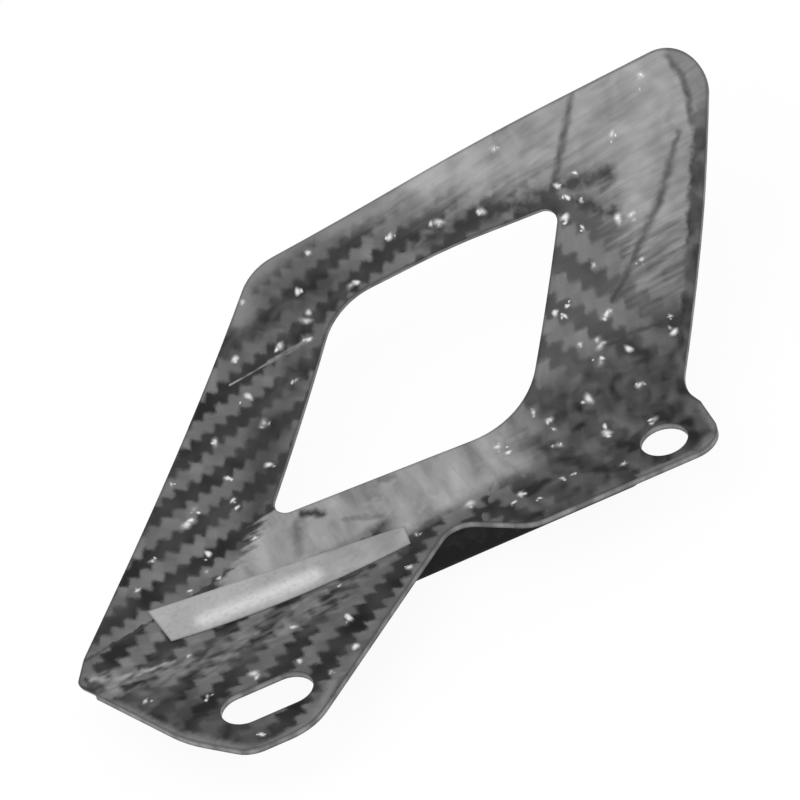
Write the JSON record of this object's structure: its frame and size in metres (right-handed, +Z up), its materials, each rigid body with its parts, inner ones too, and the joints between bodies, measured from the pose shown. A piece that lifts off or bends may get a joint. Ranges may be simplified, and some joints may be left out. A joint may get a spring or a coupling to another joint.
{
  "type": "motorcycle chain guard",
  "caption": "Thin woven-laminate chain guard: a swept, twisted fin with a window rises from a flat flange with a round bolt hole, a slot and a short skirt.",
  "frame": {"origin": "centre of the round bolt hole on the flange's upper face", "axes": "+X along the slot towards the lug, +Y from the flange towards the fin, +Z up out of the flange, the way the bolt leaves"},
  "size_m": [0.1201, 0.0833, 0.0404],
  "materials": {
    "laminate": "clear-coated woven carbon laminate",
    "label": "satin film, bare"
  },
  "bodies": {
    "root": {"guard": "laminate", "blank_label": "label"}
  },
  "joints": []
}
